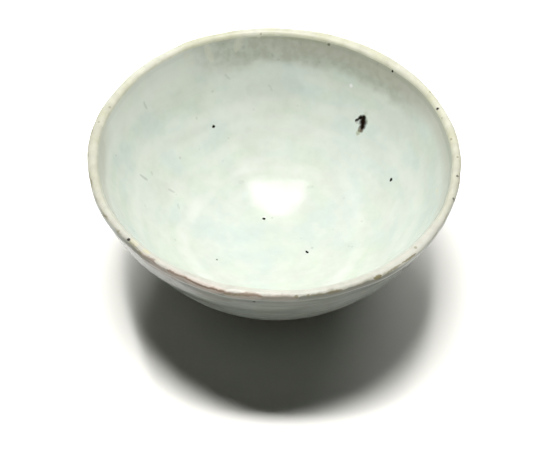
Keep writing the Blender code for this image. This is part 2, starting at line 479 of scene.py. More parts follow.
def make_outer_coat():
    """The coat outside, from its fine edge under the lip to its rounded, wavy hem."""
    outside = outer_stations()
    hem_end = outside[-1][2] - HEM_ABOVE_FOOT
    hem_start = hem_end - HEM_LENGTH

    def hem_lift(run):
        """Where the coat's face lies, with the swell of its hem and the nose that ends it."""
        along = min(max((run - hem_start) / HEM_LENGTH, 0), 1)
        swell = HEM_SWELL * math.sin(math.pi * along) ** 2
        nose = math.sqrt(1 - smooth_step(HEM_NOSE, 1, along) ** 2)
        return (coat_lift(run) + GLAZE_THICKNESS + swell) * nose - GLAZE_THICKNESS

    wall_runs = closer_at_start(BARE_LIP, hem_start, FACE_STATIONS - LIP_STATIONS)
    hem_runs = evenly(hem_start, hem_end, LIP_STATIONS)[1:]
    back_runs = closer_at_start(BARE_LIP, hem_end - EDGE_RUN, BACK_STATIONS)[1:]
    face = offset_line(outside, wall_runs + hem_runs, hem_lift)
    back = offset_line(outside, back_runs, coat_back_lift)
    bm = turned(face + list(reversed(back)), closed=True)
    rolled_outside(bm, both_sides=True)
    marked_by_fingers(bm)
    uneven_rim(bm)
    wavy_hem(bm)
    shaped_by_hand(bm)
    return add_piece("outer_glaze_coat", bm, "celadon_outside", "outer_glaze")


def foot_wall(height):
    """The foot ring's outer and inner radius at a height. It narrows downwards by its draft."""
    draft = (FOOT_HEIGHT - height) * math.tan(FOOT_DRAFT)
    return FOOT_RADIUS - draft, FOOT_RADIUS - FOOT_WIDTH + draft


def rounded_edge(corner, out_x):
    """The quarter round at a bottom corner of the foot ring, from its side to its underside."""
    centre = corner + Vector((-out_x * FOOT_EDGE, FOOT_EDGE))
    angles = evenly(0, math.pi / 2, EDGE_STATIONS)
    return [
        centre + Vector((out_x * math.cos(a), -math.sin(a))) * FOOT_EDGE for a in angles
    ]


def make_turned_foot():
    """The ring that the bowl stands on, luted up against the floor."""
    outer_top, inner_top = foot_wall(FOOT_HEIGHT)
    outer_low, inner_low = foot_wall(FOOT_EDGE)
    profile = [Vector((inner_top, FOOT_HEIGHT)), Vector((outer_top, FOOT_HEIGHT))]
    profile += rounded_edge(Vector((outer_low, 0)), 1)
    profile += reversed(rounded_edge(Vector((inner_low, 0)), -1))
    bm = turned(profile, closed=True)
    shaped_by_hand(bm)
    return add_piece("turned_foot", bm, "buff_clay", "foot_ring")


def make_base_coat():
    """The coat under the floor, which runs a little way down the inside of the ring."""
    skirt = BASE_CEILING - BASE_SKIRT
    at_top = foot_wall(FOOT_HEIGHT)[1]
    at_ceiling = foot_wall(BASE_CEILING)[1] - GLAZE_THICKNESS
    at_skirt = foot_wall(skirt)[1]
    profile = [
        Vector((0, FOOT_HEIGHT)),
        Vector((at_top, FOOT_HEIGHT)),
        Vector((at_skirt, skirt)),
        Vector((at_skirt - GLAZE_THICKNESS, skirt)),
        Vector((at_ceiling, BASE_CEILING)),
        Vector((0, BASE_CEILING)),
    ]
    bm = turned(profile, closed=False)
    shaped_by_hand(bm)
    return add_piece("base_glaze_coat", bm, "celadon_base", "base_glaze")


# Finding on the bowl what the picture shows


def speck(across, down, width, strength=1.0):
    """A round mark: its pixel in the picture, its width in pixels, and how strong it shows."""
    return (across, down), (across, down), width, strength


def streak(start, end, width, strength=1.0):
    """A long mark from one pixel of the picture to another."""
    return start, end, width, strength


def seen_at(pixel, pieces):
    """The nearest point of some pieces that lies under a pixel of the picture."""
    camera = bpy.context.scene.camera
    size = SENSOR / PICTURE_WIDTH
    across = (pixel[0] - PICTURE_WIDTH / 2) * size
    up = (PICTURE_HEIGHT / 2 - pixel[1]) * size
    way = camera.matrix_world.to_3x3() @ Vector((across, up, -LENS))
    hits = [piece.ray_cast(camera.location, way.normalized()) for piece in pieces]
    places = [place for hit, place, _, _ in hits if hit]
    return min(places, key=lambda place: (place - camera.location).length)


def on_the_bowl(marks, pieces):
    """Carries marks over from the picture: two ends, a radius in metres and a strength."""
    pixel = SENSOR / PICTURE_WIDTH * VIEW_DISTANCE / LENS
    return [
        (seen_at(start, pieces), seen_at(end, pieces), width / 2 * pixel, strength)
        for start, end, width, strength in marks
    ]


# Iron that melted out of the clay
IRON_SPECKS = (
    speck(213.7, 126.5, 3.2),
    speck(263.7, 218.5, 3.5),
    streak((305.8, 251), (308.4, 252.8), 2.4),
    streak((390.2, 180.6), (391.9, 178.8), 3.2),
    speck(392.6, 71.3, 2.4),
    speck(216.9, 259.7, 2.2, 0.6),
    speck(329, 44.6, 2.8, 0.6),
    speck(437.5, 108.7, 3.2),
    speck(128.5, 239.8, 3.4),
    speck(254, 301.7, 3),
    speck(457.3, 176, 3, 0.85),
    speck(453.7, 199, 2.8, 0.8),
)

# The dark kiln mark: its body, its barb and the olive drip under it
KILN_MARK = (
    streak((363.6, 116.4), (363.6, 120.5), 6.2),
    streak((362.9, 119.4), (363, 124.4), 9.4),
    streak((362.9, 124.4), (362, 128), 6.8),
    streak((362.4, 117), (359, 118.5), 4.6),
    streak((359.4, 118.4), (355.2, 121), 3, 0.95),
)
KILN_END = (
    streak((361.8, 128.4), (360.8, 131.2), 5, 0.9),
    streak((360.6, 126.6), (358.8, 131), 3.4, 0.65),
    streak((355.4, 121), (357.4, 123), 2.4, 0.4),
)
KILN_DRIP = (
    streak((359.6, 129.5), (357.2, 134.6), 3.8, 0.75),
    speck(365.8, 113.6, 4.5, 0.3),
)

# A painted glint: a small white highlight on the glaze
PAINTED_GLINT = (speck(351, 85.6, 4),)

# Small grey marks under the glaze, and two broad faint streaks of painted shade
GREY_SPECKS_AND_SHADE = (
    speck(180, 157.9, 3.2, 0.37),
    speck(196.8, 118.3, 3.2, 0.24),
    speck(228.6, 138, 2.6, 0.2),
    speck(223, 161, 2.6, 0.17),
    speck(212.4, 91.4, 3, 0.27),
    speck(175.4, 240, 2.6, 0.24),
    speck(145, 205.5, 2.6, 0.2),
    speck(361.6, 221.4, 2.8, 0.24),
    speck(333, 229.7, 2.6, 0.17),
    speck(301, 238.4, 2.6, 0.17),
    speck(352, 246.6, 2.6, 0.2),
    speck(343.8, 198.2, 2.6, 0.17),
    speck(297.4, 105.9, 2.6, 0.2),
    speck(319.4, 62.3, 3.2, 0.24),
    speck(278.4, 59.4, 3.4, 0.31),
    speck(243.5, 47.2, 4, 0.31),
    speck(223.2, 43.9, 2.8, 0.27),
    speck(377.7, 63.6, 3, 0.37),
    streak((272, 53.5), (273.2, 57.5), 2.8, 0.27),
    streak((268, 84), (272.6, 91), 2.6, 0.24),
    streak((224.5, 74.4), (230.5, 79.5), 2.4, 0.2),
    streak((232, 62.5), (246, 64), 6, 0.15),
    streak((299.5, 41.5), (301, 45), 2.8, 0.24),
    streak((143.6, 101.6), (147.2, 109.5), 2.8, 0.26),
    streak((139.8, 174.4), (147.8, 180.2), 3, 0.34),
    streak((150.6, 171), (153, 175), 2.4, 0.22),
    streak((168, 189), (174.9, 192.4), 2.6, 0.26),
    streak((177.5, 203.5), (179.5, 209), 3, 0.19),
    streak((307, 187.5), (313.5, 186.5), 4, 0.14),
    streak((239, 182.5), (244, 181.5), 4, 0.12),
    # Painted shade: broad faint streaks on the back and left inner walls
    streak((248, 89), (302, 88), 24, 0.11),
    streak((104, 142), (104, 184), 14, 0.12),
)

# Ivory drips that run down from the lip, and pale spots
IVORY_DRIPS = (
    streak((241, 34.5), (235.6, 51.5), 6.4, 0.42),
    streak((206, 44.5), (212.2, 62), 7, 0.38),
    streak((186, 54), (192, 66), 9, 0.3),
    streak((258.6, 34), (258.8, 37.5), 3.6, 0.6),
    streak((435.8, 188.5), (438.2, 193.5), 4.6, 0.6),
    streak((361.8, 291.9), (365.2, 291.4), 3, 0.8),
)

# Brown and olive notches and specks along the lip
LIP_NOTCHES = (
    streak((374, 278.7), (381.5, 275.3), 3.6, 0.9),
    speck(378.9, 276.8, 5, 0.75),
    speck(296.2, 296.6, 3.4, 0.7),
    speck(308.2, 295.4, 3, 0.7),
    speck(235.6, 294.4, 2.8, 0.55),
    speck(109.8, 107.4, 2.8, 0.45),
    speck(98.6, 122, 2.8, 0.4),
    speck(430, 92, 2.8, 0.5),
    speck(441.9, 118, 2.4, 0.4),
    speck(451.2, 139.3, 2.8, 0.6),
    speck(457.6, 157, 2.4, 0.5),
    speck(118.8, 231.2, 2.8, 0.45),
    speck(415.8, 247.6, 3.2, 0.6),
    speck(261, 33.8, 2.8, 0.45),
)
OLIVE_LINES = (
    streak((310, 295.4), (326, 293.4), 2.2, 0.5),
    streak((326, 293.4), (343, 289.6), 2.4, 0.6),
    streak((387, 273), (402, 263.6), 1.9, 0.6),
    streak((402, 263.6), (416.5, 253.2), 1.9, 0.75),
    streak((126, 238.5), (139, 250), 1.6, 0.4),
    streak((222, 293.4), (246, 296), 2, 0.6),
)

# Where the clay stays bare a little further down the lip, laid in the lip's white, which is
# partly painted light
BARE_PATCHES = (
    streak((154, 260.6), (169, 269.4), 3, 0.75),
    streak((226, 290.1), (244, 291.9), 3.2, 0.75),
)

# Patches of creamy clay on the lip
CREAM_PATCHES = (
    streak((130.5, 239), (137.5, 245.6), 4.4, 0.5),
    streak((143.4, 249.6), (149.2, 253.4), 4, 0.7),
    speck(158, 260, 3.4, 0.4),
)

# A thin olive line at the lip's inner edge, painted as the lip's shade
INNER_SHADE_LINES = (
    streak((246, 38.4), (276, 37.6), 2.2, 0.42),
    streak((276, 37.6), (306, 40), 2.4, 0.5),
    streak((306, 40), (332, 45.4), 2.2, 0.4),
    streak((384, 65), (414, 84), 2.4, 0.38),
    streak((414, 84), (436, 108), 3, 0.42),
    streak((436, 108), (446, 132), 3, 0.4),
)

# Where the fire left a pink flush: along the lip, and fainter on the wall below it
LIP_FLUSH = (
    streak((142, 253), (152, 260), 7, 0.35),
    streak((150, 259), (168, 269.5), 11, 0.6),
    streak((166, 268.5), (186, 278), 13, 0.8),
    streak((184, 278), (224, 291), 13, 1),
    streak((222, 291), (262, 297), 12, 0.8),
    streak((262, 297), (298, 298), 10, 0.4),
)
WALL_FLUSH = (
    streak((138, 252), (176, 280), 13, 0.6),
    streak((190, 289), (232, 301), 11, 0.2),
    streak((296, 299), (318, 299), 9, 0.18),
)


# Finishes


# How a mark's edge fades out, between two shares of its radius
CRISP_EDGE = (0.6, 1.3)
IRON_EDGE = (0.6, 1.4)
KILN_EDGE = (0.35, 1.5)
BURNT_EDGE = (0.4, 1.5)
DRIP_EDGE = (0.0, 1.8)
OUTER_DRIP_EDGE = (0.3, 1.5)
GREY_EDGE = (0.0, 1.5)
LINE_EDGE = (0.2, 1.6)
CREAM_EDGE = (0.0, 1.9)
BARE_EDGE = (0.1, 1.6)
LIP_FLUSH_EDGE = (0.2, 1.4)
WALL_FLUSH_EDGE = (0.0, 1.5)

# How an edge wobbles: how long its waves are and how far they reach
MARK_WOBBLE = (0.0014, 0.0008)
RING_WOBBLE = (0.030, 0.0130)
BAND_WOBBLE = (0.007, 0.0070)
LINE_WOBBLE = (0.005, 0.0012)
HEM_WOBBLE = (0.008, 0.0020)

# The share of a ring's or a strewn speck's reach that shows in full, and of specks that are faint
RING_CORE = 0.2
SPECK_CORE = 0.5
FAINT_SPECKS = 0.1


class Nodes:
    """The nodes of a shader: most calls add a node and give what comes out of it."""

    def __init__(self, shader):
        self.nodes = shader.node_tree.nodes
        self.links = shader.node_tree.links

    def feed(self, socket, value):
        """Links what a node gives to a socket, or sets the socket to a number or colour."""
        if isinstance(value, bpy.types.NodeSocket):
            self.links.new(value, socket)
        else:
            socket.default_value = value

    def node(self, kind, **values):
        """A new node of a kind, and what goes into its sockets."""
        node = self.nodes.new("ShaderNode" + kind)
        for name, value in values.items():
            self.feed(node.inputs[name], value)
        return node

    def math(self, operation, first, second):
        """One sum of two numbers."""
        node = self.node("Math")
        node.operation = operation
        self.feed(node.inputs[0], first)
        self.feed(node.inputs[1], second)
        return node.outputs["Value"]

    def times(self, share, *others):
        """The product of some shares."""
        for other in others:
            share = self.math("MULTIPLY", share, other)
        return share

    def vector(self, operation, *values):
        """One sum of vectors."""
        node = self.node("VectorMath")
        node.operation = operation
        for socket, value in zip(node.inputs, values):
            self.feed(socket, value)
        one_number = operation in ("DISTANCE", "LENGTH", "DOT_PRODUCT")
        return node.outputs["Value" if one_number else "Vector"]

    def spread(self, value, low, high, to_low=0.0, to_high=1.0):
        """Carries the stretch from low to high over to another stretch, smoothly."""
        node = self.node("MapRange")
        node.interpolation_type = "SMOOTHSTEP"
        numbers = (value, low, high, to_low, to_high)
        for socket, number in zip(node.inputs, numbers):
            self.feed(socket, number)
        return node.outputs["Result"]


class Finish(Nodes):
    """A piece's material in the making."""

    def __init__(self, piece, name, bowl=()):
        material = bpy.data.materials.new(name)
        material.use_nodes = True
        piece.data.materials.append(material)
        super().__init__(material)
        self.bowl = bowl
        self.shader = self.nodes["Principled BSDF"]
        self.place = self.node("TexCoord").outputs["Object"]
        self.colour = None

    def cloud(self, size, detail=3, place=None, gives="Fac"):
        """Noise from about 0 to 1, as a number or a colour, in patches about a size across."""
        place = place or self.place
        node = self.node("TexNoise", Scale=1 / size, Detail=detail, Vector=place)
        return node.outputs[gives]

    def patches(self, size, low=0.3, high=0.7, to_low=0.0, to_high=1.0, detail=3, place=None):
        """Patches about a size across, which rise between two levels of their noise."""
        return self.spread(self.cloud(size, detail, place), low, high, to_low, to_high)

    def blend(self, share, first, second, how="MIX"):
        """Two colours mixed by a share."""
        node = self.node("Mix", Factor=share)
        node.data_type = "RGBA"
        node.blend_type = how
        for name, colour in (("A", first), ("B", second)):
            socket = [s for s in node.inputs if s.name == name and s.type == "RGBA"][0]
            self.feed(socket, (*colour, 1) if isinstance(colour, tuple) else colour)
        return [s for s in node.outputs if s.type == "RGBA"][0]

    def lay(self, share, colour):
        """Lays a colour over what is there, by a share."""
        self.colour = self.blend(share, self.colour, colour)

    def shade(self, value):
        """Darkens what is there by a value between 0 and 1."""
        grey = self.node("CombineColor", Red=value, Green=value, Blue=value)
        self.colour = self.blend(1.0, self.colour, grey.outputs["Color"], "MULTIPLY")

    def axis(self, name, place=None):
        """One coordinate of the place."""
        return self.node("SeparateXYZ", Vector=place or self.place).outputs[name]

    def across(self, place=None):
        """The place without its height: the way there from the wheel's axis."""
        return self.vector("MULTIPLY", place or self.place, (1, 1, 0))

    def radius(self, place=None):
        """How far the place lies from the wheel's axis."""
        return self.vector("LENGTH", self.across(place))

    def climb(self, place=None):
        """Radius plus height, which grows all the way up the bowl's face."""
        return self.math("ADD", self.radius(place), self.axis("Z", place))

    def side(self, heading, low, high, to_low=0.0, to_high=1.0):
        """Rises towards the side of the bowl that lies at a heading from its middle.

        Low and high are levels between 0 on the far side and 1 on the near one.
        """
        heading = math.radians(heading)
        way = (math.cos(heading), math.sin(heading), 0)
        along = self.vector("DOT_PRODUCT", self.place, way)
        level = self.spread(along, -RIM_RADIUS, RIM_RADIUS)
        return self.spread(level, low, high, to_low, to_high)

    def normal(self, out):
        """How far the surface faces up, or out from the wheel's axis, from -1 to 1."""
        facing = self.node("NewGeometry").outputs["Normal"]
        if not out:
            return self.axis("Z", facing)
        heading = self.vector("NORMALIZE", self.across())
        return self.vector("DOT_PRODUCT", facing, heading)

    def off_the_wheel(self, girth):
        """The place unrolled off the wheel, so that clouds on it stretch round the bowl."""
        rise = self.node("CombineXYZ", Z=self.climb()).outputs["Vector"]
        heading = self.vector("NORMALIZE", self.across())
        return self.vector("MULTIPLY_ADD", heading, (girth, girth, girth), rise)

    def shaken(self, size, reach):
        """The place, pushed about by a cloud, for marks with uneven edges."""
        pushes = self.cloud(size, detail=2, gives="Color")
        centred = self.vector("SUBTRACT", pushes, (0.5, 0.5, 0.5))
        return self.vector("MULTIPLY_ADD", centred, (reach, reach, reach), self.place)

    def marked(self, marks, edge=CRISP_EDGE):
        """A mask that shows marks of the picture. A long one is an ellipse round its ends."""
        place = self.shaken(*MARK_WOBBLE)
        mask = 0.0
        for start, end, radius, strength in on_the_bowl(marks, self.bowl):
            reach = self.vector("DISTANCE", place, start)
            if start != end:
                reach = self.math("ADD", reach, self.vector("DISTANCE", place, end))
                reach = self.times(reach, 0.5)
            full, gone = (math.hypot((end - start).length / 2, radius * k) for k in edge)
            mask = self.math("MAXIMUM", mask, self.spread(reach, full, gone, strength, 0.0))
        return mask

    def draw(self, marks, colour, edge=CRISP_EDGE):
        """Lays a colour over what is there, where the picture shows some marks."""
        self.lay(self.marked(marks, edge), colour)

    def ring(self, climb, width, share):
        """A mask that shows a wavering ring round the bowl, at a sum of radius and height."""
        away = self.math("SUBTRACT", self.climb(self.shaken(*RING_WOBBLE)), climb)
        away = self.math("ABSOLUTE", away, 0.0)
        return self.spread(away, RING_CORE * width, width, share, 0.0)

    def strewn(self, spacing, radius, share):
        """A mask that shows small round specks strewn all over, in a share of the places."""
        node = self.node("TexVoronoi", Scale=1 / spacing, Vector=self.place)
        reach = radius / spacing
        core = SPECK_CORE * reach
        round_speck = self.spread(node.outputs["Distance"], core, reach, 1.0, 0.0)
        lot = self.axis("X", node.outputs["Color"])
        chosen = self.spread(lot, 1 - share, 1 - share * (1 - FAINT_SPECKS))
        return self.times(round_speck, chosen)

    def bump(self, height, depth):
        """Adds relief of a depth in metres, on top of what is there."""
        node = self.node("Bump", Distance=depth, Height=height)
        normal = self.shader.inputs["Normal"]
        if normal.is_linked:
            self.feed(node.inputs["Normal"], normal.links[0].from_socket)
        self.feed(normal, node.outputs["Normal"])

    def close(self, roughness):
        """Joins the colour and the roughness to the shader."""
        self.feed(self.shader.inputs["Base Color"], self.colour)
        self.feed(self.shader.inputs["Roughness"], roughness)


# Colours of the glaze, the clay and the marks of the fire
BLUISH_CELADON = (0.740, 0.825, 0.760)
GREENISH_CELADON = (0.755, 0.820, 0.700)
PALE_CELADON = (0.810, 0.845, 0.770)
PALEST_CELADON = (0.860, 0.890, 0.820)
DEEP_CELADON = (0.520, 0.620, 0.540)
OUTER_CELADON = (0.700, 0.740, 0.690)
# Dark of the painted shade on the outer glaze's upper edge at the front
SHADED_OUTER = (0.250, 0.250, 0.195)
# Dull grey of the painted shade on the roll under the lip
SHADED_CELADON = (0.440, 0.440, 0.420)
IVORY = (0.725, 0.720, 0.530)
PALE_IVORY = (0.815, 0.810, 0.665)
# The lip's white: whiter clay, and painted light where the front of the lip catches it
WHITE_LIT_LIP = (0.870, 0.865, 0.770)
# Olive grey of the painted shade under the lip and along its inner edge
PAINTED_SHADE_OLIVE = (0.445, 0.465, 0.370)
BEIGE_GLAZE = (0.520, 0.480, 0.390)
CREAM = (0.760, 0.730, 0.490)
PINK_FLUSH = (0.290, 0.205, 0.145)
PEACH = (0.900, 0.740, 0.640)
IRON = (0.010, 0.006, 0.003)
IRON_BROWN = (0.110, 0.070, 0.030)
GLINT_WHITE = (0.960, 0.970, 0.950)
OLIVE_BROWN = (0.230, 0.190, 0.070)
OLIVE = (0.400, 0.430, 0.260)
SPECK_GREY = (0.260, 0.290, 0.240)
BUFF = (0.560, 0.460, 0.330)
SANDY_BUFF = (0.660, 0.560, 0.420)
TOASTED = (0.420, 0.280, 0.170)

# The shares by which the strewn grey specks, the pale side (paler glaze and painted light) and
# the peach of the flush show
STREWN_GREY = 0.3
PALE_SHARE = 0.5
PEACH_SHARE = 0.55

# Roughness: of the glaze from its glossiest to its dullest patches, of the wall's clay from the
# foot to the lip, and of the foot ring
GLAZE_ROUGHNESS = (0.10, 0.19)
CLAY_ROUGHNESS = (0.8, 0.32)
FOOT_ROUGHNESS = (0.75, 0.95)

# Paler rings where the fingers left the wall raised: radius plus height, width and share
FINGER_RINGS = ((0.0955, 0.0075, 0.50), (0.0580, 0.0065, 0.60), (0.0830, 0.0040, 0.20))

# Where the rings of throwing start to show and show in full, from the middle of the floor
RINGED_RADIUS = (0.006, 0.022)

# Heights between which one look gives way to the next
LIP_EDGE = BOWL_HEIGHT - LIP_THICKNESS
# The heights just under the lip where the painted light and shade lie
UNDER_LIP_BAND = (LIP_EDGE - 0.0121, LIP_EDGE - 0.0055)
BEIGE_BAND = (LIP_EDGE - 0.0075, LIP_EDGE - 0.0010)
# The heights of the painted shade line along the lip's inner edge
EDGE_SHADE_BAND = (LIP_EDGE - 0.0004, LIP_EDGE + 0.0010)
HEM_BAND = (0.20 * BOWL_HEIGHT, 0.32 * BOWL_HEIGHT)
CLAY_BAND = (0.3 * BOWL_HEIGHT, 0.6 * BOWL_HEIGHT)
OUTER_EDGE_BAND = (0.5 * BOWL_HEIGHT, 0.6 * BOWL_HEIGHT)

# Where the outer glaze and its lines start and stop on the lip, by how far it faces up or out
GLAZE_STOPS = (0.56, 0.40)
DARK_LINE_TOP = (0.80, 0.58)
DARK_LINE_FOOT = (0.30, 0.50)
FLUSH_LINE_TOP = (0.72, 0.55)
FLUSH_LINE_FOOT = (0.22, 0.42)
# Where the painted shade on the glaze's upper edge fades out
SHADED_OUTER_FOOT = (-0.75, -0.30)
FACES_OUT = (0.0, 0.3)

# Headings in degrees of the sides that differ in look
# The side where the painted shade band under the lip is darkest
SHADED_SIDE = 73
# The side of paler glaze, lifted further by painted light
PALE_AND_LIT_SIDE = 152
DULL_SIDE = -150
FRONT = -90
# The side where the outer glaze's upper edge is painted as shade
SHADED_OUTER_SIDE = -98
HIGH_GLAZE_SIDE = -100
CREAM_SIDE = -42
# The side of the roll painted duller as shade
ROLL_SIDE = -149


def celadon(piece, name, bowl=()):
    """The glaze: clouds of bluish, greenish and paler celadon over faint rings of throwing."""
    finish = Finish(piece, name, bowl)
    wheel = finish.off_the_wheel(girth=0.020)
    broad = finish.patches(size=0.022, low=0.38, high=0.62)
    patchy = finish.patches(size=0.015, low=0.42, high=0.66, to_high=0.6, detail=4)
    ringed = finish.patches(size=0.0085, low=0.40, high=0.66, to_high=0.7, detail=2, place=wheel)
    off_centre = finish.spread(finish.radius(), *RINGED_RADIUS)
    finish.colour = finish.blend(broad, BLUISH_CELADON, GREENISH_CELADON)
    finish.lay(patchy, PALE_CELADON)
    finish.lay(finish.times(ringed, off_centre), PALE_CELADON)
    finish.shade(finish.patches(size=0.010, to_low=0.94, detail=5))
    finish.shade(finish.patches(size=0.003, to_low=0.97))
    specks = finish.strewn(spacing=0.0080, radius=0.0007, share=0.20)
    finish.lay(finish.times(specks, STREWN_GREY), SPECK_GREY)
    finish.bump(finish.cloud(size=0.0045, detail=2), depth=0.000015)
    finish.bump(finish.cloud(size=0.0009, detail=2), depth=0.000002)
    return finish


def glaze_roughness(finish):
    """The soft gloss of the glaze, which differs a little from patch to patch."""
    glossiest, dullest = GLAZE_ROUGHNESS
    return finish.patches(size=0.006, to_low=glossiest, to_high=dullest)


def lip_marks(finish):
    """What the fire left along the lip, on whichever piece it lies."""
    finish.draw(CREAM_PATCHES, CREAM, CREAM_EDGE)
    finish.draw(OLIVE_LINES, OLIVE_BROWN)
    finish.draw(LIP_NOTCHES, OLIVE_BROWN)


def under_the_lip(finish):
    """Under the lip, side by side: palest glaze with painted light, a painted olive shade band,
    and beige; and a painted shade line at the lip's edge.
    """
    band = finish.spread(finish.axis("Z", finish.shaken(*BAND_WOBBLE)), *UNDER_LIP_BAND)
    # Paler glaze with painted light on the back-left wall under the lip
    pale_and_lit_side = finish.side(PALE_AND_LIT_SIDE, low=0.6, high=0.97, to_high=PALE_SHARE)
    finish.lay(finish.times(pale_and_lit_side, band), PALEST_CELADON)
    # Painted shade: an olive band under the lip, strongest at the back-right
    shaded_side = finish.side(SHADED_SIDE, low=0.87, high=0.985, to_high=0.76)
    mottled = finish.patches(size=0.0035, low=0.35, high=0.65, to_low=0.75, to_high=1.1)
    finish.lay(finish.times(band, shaded_side, mottled), PAINTED_SHADE_OLIVE)
    beige = finish.spread(finish.axis("Z"), *BEIGE_BAND, to_high=0.45)
    not_pale = finish.spread(pale_and_lit_side, low=0.0, high=PALE_SHARE, to_low=1.0, to_high=0.0)
    dull_side = finish.side(DULL_SIDE, low=0.90, high=0.97)
    not_pale = finish.math("MAXIMUM", not_pale, dull_side)
    finish.lay(finish.times(beige, not_pale), BEIGE_GLAZE)
    # Painted shade: a thin olive line just under the lip's edge, fainter where the side is pale
    edge = finish.spread(finish.axis("Z", finish.shaken(*LINE_WOBBLE)), *EDGE_SHADE_BAND)
    clear = finish.spread(pale_and_lit_side, low=0.0, high=PALE_SHARE, to_low=0.5, to_high=0.15)
    finish.lay(finish.times(edge, clear), PAINTED_SHADE_OLIVE)


def inner_celadon(piece, bowl):
    """The inside: paler rings, painted light and shade under the lip, drips, grey streaks, a
    painted glint and iron specks.
    """
    finish = celadon(piece, "celadon_inside", bowl)
    patchy = finish.patches(size=0.016, low=0.38, high=0.60, to_low=0.05)
    for climb, width, share in FINGER_RINGS:
        finish.lay(finish.times(finish.ring(climb, width, share), patchy), PALEST_CELADON)
    under_the_lip(finish)
    finish.draw(IVORY_DRIPS, PALE_IVORY, DRIP_EDGE)
    # Grey specks, with two broad streaks of painted shade
    finish.draw(GREY_SPECKS_AND_SHADE, SPECK_GREY, GREY_EDGE)
    finish.draw(KILN_DRIP, OLIVE, DRIP_EDGE)
    # A painted glint, a small white highlight
    finish.draw(PAINTED_GLINT, GLINT_WHITE)
    finish.draw(KILN_END, IRON_BROWN, BURNT_EDGE)
    # Painted shade: the olive line along the lip's inner edge
    finish.draw(INNER_SHADE_LINES, OLIVE, LINE_EDGE)
    lip_marks(finish)
    specks = finish.marked(IRON_SPECKS, IRON_EDGE)
    iron = finish.math("MAXIMUM", specks, finish.marked(KILN_MARK, KILN_EDGE))
    finish.lay(iron, IRON)
    finish.feed(finish.shader.inputs["Metallic"], iron)
    finish.bump(iron, depth=-0.00008)
    finish.close(glaze_roughness(finish))


def outer_celadon(piece, bowl):
    """The outside: celadon over turning marks, deeper in its hem, with painted shade on the roll
    at the front-left.
    """
    finish = celadon(piece, "celadon_outside", bowl)
    lines = finish.cloud(size=0.0022, place=finish.off_the_wheel(girth=0.012))
    finish.shade(finish.spread(lines, low=0.35, high=0.60, to_low=0.84))
    finish.bump(lines, depth=0.00010)
    # Painted shade: the roll at the front-left, duller
    shaded_roll = finish.side(ROLL_SIDE, low=0.955, high=0.995, to_high=0.8)
    finish.lay(shaded_roll, SHADED_CELADON)
    height = finish.axis("Z", finish.shaken(*HEM_WOBBLE))
    finish.lay(finish.spread(height, *HEM_BAND, to_low=0.7, to_high=0.0), DEEP_CELADON)
    finish.draw(WALL_FLUSH, PINK_FLUSH, WALL_FLUSH_EDGE)
    finish.draw(IVORY_DRIPS, PALE_IVORY, OUTER_DRIP_EDGE)
    lip_marks(finish)
    finish.draw(IRON_SPECKS, IRON)
    finish.lay(finish.strewn(spacing=0.0200, radius=0.0011, share=0.45), IRON)
    finish.close(glaze_roughness(finish))


def base_celadon(piece):
    """The coat inside the foot ring, deeper where it pools against the ring."""
    finish = celadon(piece, "celadon_base")
    inner = FOOT_RADIUS - FOOT_WIDTH
    pool = finish.spread(finish.radius(), low=0.75 * inner, high=inner, to_high=0.6)
    finish.lay(pool, DEEP_CELADON)
    finish.close(glaze_roughness(finish))


def glazed_outer_edge(finish):
    """The outer glaze, which comes up the lip's outer side and ends there in a thin dark line; at
    the front its upper edge is painted darker as shade.
    """
    wander = finish.patches(size=0.004, low=0.25, high=0.75, to_low=-0.14, to_high=0.14)
    higher = finish.side(HIGH_GLAZE_SIDE, low=0.88, high=0.98, to_high=-0.22)
    bare_up = finish.math("ADD", finish.normal(out=False), higher)
    up = finish.math("ADD", bare_up, wander)
    outside = finish.spread(finish.normal(out=True), *FACES_OUT)
    outside = finish.times(outside, finish.spread(finish.axis("Z"), *OUTER_EDGE_BAND))
    glazed = finish.times(finish.spread(up, *GLAZE_STOPS), outside)
    finish.lay(glazed, OUTER_CELADON)
    # Painted shade: the outer glaze's upper edge at the front, darkened
    painted_shade = finish.side(SHADED_OUTER_SIDE, low=0.90, high=0.97, to_high=0.9)
    painted_shade = finish.times(painted_shade, finish.spread(bare_up, *SHADED_OUTER_FOOT))
    finish.lay(finish.times(glazed, painted_shade), SHADED_OUTER)
    line = finish.times(finish.spread(up, *DARK_LINE_TOP), finish.spread(up, *DARK_LINE_FOOT))
    dull_side = finish.side(DULL_SIDE, low=0.80, high=1.0, to_low=0.50, to_high=0.80)
    patchy = finish.patches(size=0.009, low=0.45, high=0.62, to_low=0.10, to_high=dull_side)
    finish.lay(finish.times(line, patchy, outside), OLIVE_BROWN)
    flush = finish.marked(LIP_FLUSH, LIP_FLUSH_EDGE)
    finish.lay(finish.times(flush, outside, PEACH_SHARE), PEACH)
    line = finish.times(finish.spread(up, *FLUSH_LINE_TOP), finish.spread(up, *FLUSH_LINE_FOOT))
    finish.lay(finish.times(line, flush, outside), PINK_FLUSH)


